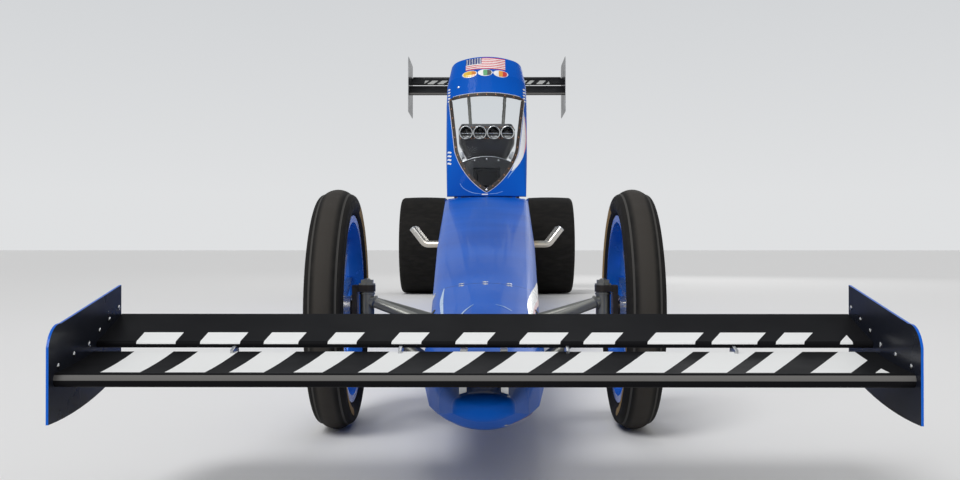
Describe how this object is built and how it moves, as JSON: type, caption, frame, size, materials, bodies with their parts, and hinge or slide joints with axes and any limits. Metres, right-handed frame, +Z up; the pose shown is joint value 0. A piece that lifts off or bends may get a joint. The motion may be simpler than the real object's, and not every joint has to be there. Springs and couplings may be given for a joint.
{
  "type": "top fuel dragster",
  "caption": "Long slender rear-engined drag racing car with front and rear wings, raised canopy, open supercharged engine and wide slick rear tyres.",
  "frame": {"origin": "on the floor, under the middle of the whole car", "axes": "-Y is the nose, +X the driver's left, +Z up"},
  "size_m": [1.624, 9.645, 2.2799],
  "materials": {
    "bare_steel": "satin",
    "body_paint": "gloss",
    "clear_screen": "gloss",
    "seat_carbon": "satin",
    "black_composite": "satin",
    "wing_black": "gloss",
    "wing_plate": "gloss",
    "wing_plate_light": "gloss",
    "machined_aluminium": "satin",
    "dark_steel": "satin",
    "tyre_rubber": "matt",
    "wheel_alloy": "polished",
    "cover_alloy": "satin",
    "blower_magnesium": "satin",
    "belt_black": "matt",
    "header_chrome": "polished",
    "can_titanium": "satin",
    "pack_fabric": "matt",
    "wheelie_rubber": "matt"
  },
  "bodies": {
    "chassis": {"frame_rails": "bare_steel", "roll_cage": "bare_steel", "nose_cone": "body_paint", "upper_body": "body_paint", "lower_body": "body_paint", "cockpit_body": "body_paint", "seat": "seat_carbon", "head_surround": "black_composite", "steering_wheel": "black_composite", "front_wing_plane": "wing_black", "front_wing_flap": "wing_black", "front_wing_endplates": "wing_plate", "front_wing_posts": "machined_aluminium", "front_arms": "bare_steel", "rear_axle_housing": "machined_aluminium", "engine_block": "machined_aluminium", "cylinder_heads": "machined_aluminium", "valve_covers": "cover_alloy", "supercharger": "blower_magnesium", "injector_hat": "black_composite", "blower_drive": "belt_black", "exhaust_headers_left": "header_chrome", "exhaust_headers_right": "header_chrome", "motor_plates": "machined_aluminium", "clutch_can": "can_titanium", "rear_wing_plane": "wing_black", "rear_wing_flap": "wing_black", "rear_wing_endplates": "wing_plate_light", "rear_wing_struts": "bare_steel", "parachute_packs": "pack_fabric", "wheelie_bar": "bare_steel"},
    "canopy": {"canopy_shell": "body_paint", "windshield": "clear_screen"},
    "left_knuckle": {"knuckle_left": "dark_steel"},
    "right_knuckle": {"knuckle_right": "dark_steel"},
    "steering_link": {"tie_rod": "bare_steel"},
    "left_front_wheel": {"front_tyre_left": "tyre_rubber", "front_wheel_left": "wheel_alloy"},
    "right_front_wheel": {"front_tyre_right": "tyre_rubber", "front_wheel_right": "wheel_alloy"},
    "rear_wheel_set": {"rear_tyre_left": "tyre_rubber", "rear_tyre_right": "tyre_rubber", "rear_wheels": "wheel_alloy", "rear_axle_shaft": "dark_steel"},
    "wheelie_wheel_set": {"wheelie_wheels": "wheelie_rubber"}
  },
  "joints": [
    {"name": "canopy_hinge", "type": "hinge", "parent": "chassis", "child": "canopy", "pos_m": [0, 1.0225, 0.771], "axis": [1, 0, 0], "range_deg": [-58, 0]},
    {"name": "steer_left", "type": "hinge", "parent": "chassis", "child": "left_knuckle", "pos_m": [0.284, -3.8475, 0.286], "axis": [0, 0, 1], "range_deg": [-12, 12]},
    {"name": "steer_right", "type": "hinge", "parent": "chassis", "child": "right_knuckle", "pos_m": [-0.284, -3.8475, 0.286], "axis": [0, 0, 1], "range_deg": [-12.5, 12.5]},
    {"name": "steer_link", "type": "slide", "parent": "chassis", "child": "steering_link", "axis": [1, 0, 0], "range_m": [-0.0235, 0.0235]},
    {"name": "front_wheel_left_spin", "type": "hinge", "parent": "left_knuckle", "child": "left_front_wheel", "pos_m": [0.352, -3.8475, 0.286], "axis": [1, 0, 0], "continuous": true},
    {"name": "front_wheel_right_spin", "type": "hinge", "parent": "right_knuckle", "child": "right_front_wheel", "pos_m": [-0.352, -3.8475, 0.286], "axis": [1, 0, 0], "continuous": true},
    {"name": "rear_wheels_spin", "type": "hinge", "parent": "chassis", "child": "rear_wheel_set", "pos_m": [0, 3.7725, 0.457], "axis": [1, 0, 0], "continuous": true},
    {"name": "wheelie_wheels_spin", "type": "hinge", "parent": "chassis", "child": "wheelie_wheel_set", "pos_m": [0, 4.7725, 0.15], "axis": [1, 0, 0], "continuous": true}
  ],
  "couplings": [
    {"joint": "steer_right", "follows": "steer_left", "ratio": 1},
    {"joint": "steer_link", "follows": "steer_left", "m_per_rad": -0.11}
  ]
}
